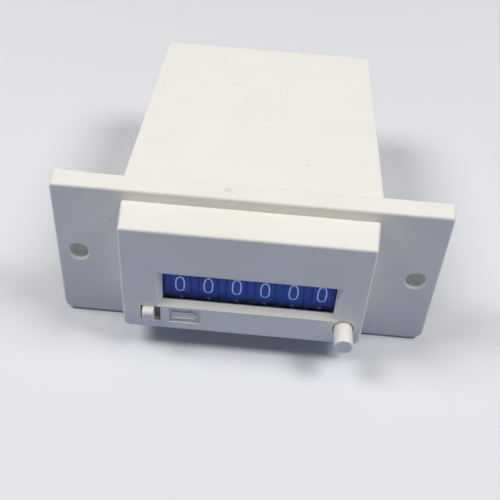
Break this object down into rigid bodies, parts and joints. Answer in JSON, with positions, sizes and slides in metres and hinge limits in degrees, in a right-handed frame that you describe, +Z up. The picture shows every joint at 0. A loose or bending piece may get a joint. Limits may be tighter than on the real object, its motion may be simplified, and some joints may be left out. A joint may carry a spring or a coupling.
{
  "type": "panel counter",
  "caption": "Panel-mounted electromechanical pulse counter: number wheels behind a bevelled window, a push button to reset, a small lock slide and a wide screw flange on a deep case.",
  "frame": {"origin": "on the surface under the flange's lower edge, in the middle of the width and of the whole depth", "axes": "+X to the right as seen from the front, +Y from the button and window back through the case, +Z up"},
  "size_m": [0.07, 0.081, 0.03],
  "materials": {
    "ivory_plastic": "smooth moulded, slightly glossy",
    "wheel_plastic": "satin dark navy",
    "white_plastic": "natural acetal",
    "dark_nylon": "moulded",
    "clear_window": "polished clear",
    "zinc_plate": "zinc plated sheet",
    "bright_steel": "ground",
    "copper_winding": "enamelled wire",
    "terminal_metal": "tinned"
  },
  "bodies": {
    "housing": {"front_panel": "ivory_plastic", "case": "ivory_plastic", "window_lens": "clear_window", "frame_plate_left": "zinc_plate", "frame_plate_right": "zinc_plate", "frame_tie_front": "zinc_plate", "frame_tie_rear": "zinc_plate", "wheel_shaft": "bright_steel", "shaft_clip_left": "bright_steel", "shaft_clip_right": "bright_steel", "reset_spring": "bright_steel", "armature_spring": "bright_steel", "coil_bobbin": "dark_nylon", "coil_winding": "copper_winding", "coil_core": "zinc_plate", "window_comb": "wheel_plastic", "yoke": "zinc_plate", "armature_pin": "bright_steel", "terminal_block": "dark_nylon", "terminal_left": "terminal_metal", "terminal_right": "terminal_metal", "coil_lead_left": "copper_winding", "coil_lead_right": "copper_winding"},
    "reset_button": {"reset_button": "ivory_plastic"},
    "lock_slider": {"lock_slider": "ivory_plastic"},
    "reset_rocker": {"reset_rocker": "white_plastic", "rocker_shaft": "bright_steel", "reset_lever": "zinc_plate", "pinion_shaft": "bright_steel"},
    "armature": {"armature": "zinc_plate", "pallet_lever": "zinc_plate"},
    "number_wheel_1": {"number_wheel_1": "wheel_plastic"},
    "number_wheel_2": {"number_wheel_2": "wheel_plastic"},
    "number_wheel_3": {"number_wheel_3": "wheel_plastic"},
    "number_wheel_4": {"number_wheel_4": "wheel_plastic"},
    "number_wheel_5": {"number_wheel_5": "wheel_plastic"},
    "number_wheel_6": {"number_wheel_6": "wheel_plastic"},
    "transfer_pinion_1": {"transfer_pinion_1": "white_plastic"},
    "transfer_pinion_2": {"transfer_pinion_2": "white_plastic"},
    "transfer_pinion_3": {"transfer_pinion_3": "white_plastic"},
    "transfer_pinion_4": {"transfer_pinion_4": "white_plastic"},
    "transfer_pinion_5": {"transfer_pinion_5": "white_plastic"}
  },
  "joints": [
    {"name": "button_press", "type": "slide", "parent": "housing", "child": "reset_button", "axis": [0, 1, 0], "range_m": [0, 0.0026], "stiffness_N_per_m": 300, "springref_m": -0.001, "deforming": ["reset_spring"]},
    {"name": "lock_slide", "type": "slide", "parent": "housing", "child": "lock_slider", "axis": [1, 0, 0], "range_m": [0, 0.0009]},
    {"name": "rocker_turn", "type": "hinge", "parent": "housing", "child": "reset_rocker", "pos_m": [0, -0.0157, 0.0212], "axis": [1, 0, 0], "range_deg": [0, 11.8]},
    {"name": "armature_pull", "type": "hinge", "parent": "housing", "child": "armature", "pos_m": [0, -0.0043, 0.006], "axis": [-1, 0, 0], "range_deg": [0, 3], "stiffness_Nm_per_rad": 0.004, "springref_deg": -8.59, "deforming": ["armature_spring"]},
    {"name": "wheel_1_turn", "type": "hinge", "parent": "housing", "child": "number_wheel_1", "pos_m": [-0.0115, -0.0255, 0.01435], "axis": [-1, 0, 0], "continuous": true},
    {"name": "wheel_2_turn", "type": "hinge", "parent": "housing", "child": "number_wheel_2", "pos_m": [-0.00642, -0.0255, 0.01435], "axis": [-1, 0, 0], "continuous": true},
    {"name": "wheel_3_turn", "type": "hinge", "parent": "housing", "child": "number_wheel_3", "pos_m": [-0.00134, -0.0255, 0.01435], "axis": [-1, 0, 0], "continuous": true},
    {"name": "wheel_4_turn", "type": "hinge", "parent": "housing", "child": "number_wheel_4", "pos_m": [0.00374, -0.0255, 0.01435], "axis": [-1, 0, 0], "continuous": true},
    {"name": "wheel_5_turn", "type": "hinge", "parent": "housing", "child": "number_wheel_5", "pos_m": [0.00882, -0.0255, 0.01435], "axis": [-1, 0, 0], "continuous": true},
    {"name": "wheel_6_turn", "type": "hinge", "parent": "housing", "child": "number_wheel_6", "pos_m": [0.0139, -0.0255, 0.01435], "axis": [-1, 0, 0], "continuous": true},
    {"name": "pinion_1_turn", "type": "hinge", "parent": "reset_rocker", "child": "transfer_pinion_1", "pos_m": [-0.0115, -0.0157, 0.01435], "axis": [-1, 0, 0], "continuous": true},
    {"name": "pinion_2_turn", "type": "hinge", "parent": "reset_rocker", "child": "transfer_pinion_2", "pos_m": [-0.00642, -0.0157, 0.01435], "axis": [-1, 0, 0], "continuous": true},
    {"name": "pinion_3_turn", "type": "hinge", "parent": "reset_rocker", "child": "transfer_pinion_3", "pos_m": [-0.00134, -0.0157, 0.01435], "axis": [-1, 0, 0], "continuous": true},
    {"name": "pinion_4_turn", "type": "hinge", "parent": "reset_rocker", "child": "transfer_pinion_4", "pos_m": [0.00374, -0.0157, 0.01435], "axis": [-1, 0, 0], "continuous": true},
    {"name": "pinion_5_turn", "type": "hinge", "parent": "reset_rocker", "child": "transfer_pinion_5", "pos_m": [0.00882, -0.0157, 0.01435], "axis": [-1, 0, 0], "continuous": true}
  ],
  "couplings": [
    {"joint": "rocker_turn", "follows": "button_press", "rad_per_m": 79.05},
    {"joint": "pinion_1_turn", "follows": "wheel_1_turn", "ratio": -2.5},
    {"joint": "pinion_2_turn", "follows": "wheel_2_turn", "ratio": -2.5},
    {"joint": "pinion_3_turn", "follows": "wheel_3_turn", "ratio": -2.5},
    {"joint": "pinion_4_turn", "follows": "wheel_4_turn", "ratio": -2.5},
    {"joint": "pinion_5_turn", "follows": "wheel_5_turn", "ratio": -2.5}
  ]
}
